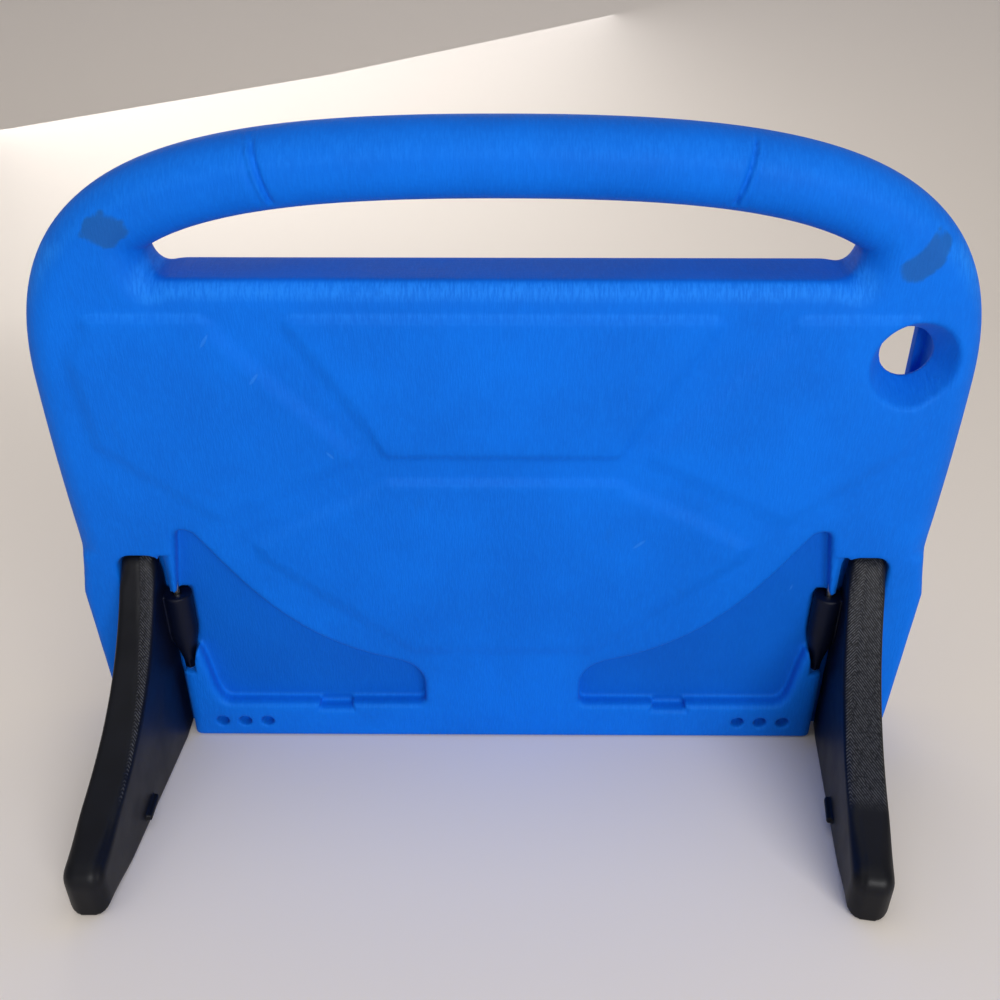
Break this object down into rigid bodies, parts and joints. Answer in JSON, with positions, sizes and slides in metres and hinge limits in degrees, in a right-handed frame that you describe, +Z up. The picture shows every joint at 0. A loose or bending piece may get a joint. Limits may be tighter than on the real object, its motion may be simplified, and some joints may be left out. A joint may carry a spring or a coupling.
{
  "type": "foam tablet case with carrying handle and fold-out legs",
  "caption": "Thick foam tablet case with an arched carrying handle, a shallow bay and lip for the tablet, and swing-out legs that prop it up.",
  "frame": {"origin": "centre of the bounding box's bottom, on the surface the case stands on", "axes": "+X across the case, to the side with the camera hole; -Y out of its back, to where the legs point; +Z up"},
  "size_m": [0.28, 0.1166, 0.2129],
  "materials": {
    "blue_foam": "matt moulded foam with a fine upright woven texture",
    "black_plastic": "moulded black plastic with a low sheen",
    "steel": "plain drawn wire"
  },
  "bodies": {
    "case": {"case_shell": "blue_foam", "left_hinge_pin": "steel", "right_hinge_pin": "steel"},
    "left_leg": {"left_leg": "black_plastic"},
    "right_leg": {"right_leg": "black_plastic"}
  },
  "joints": [
    {"name": "left_leg_swing", "type": "hinge", "parent": "case", "child": "left_leg", "pos_m": [-0.1083, 0.02889, 0.04942], "axis": [0, -0.1771, 0.9842], "range_deg": [-0.5, 89.5]},
    {"name": "right_leg_swing", "type": "hinge", "parent": "case", "child": "right_leg", "pos_m": [0.1083, 0.02889, 0.04942], "axis": [0, -0.1771, 0.9842], "range_deg": [-81, 9]}
  ]
}
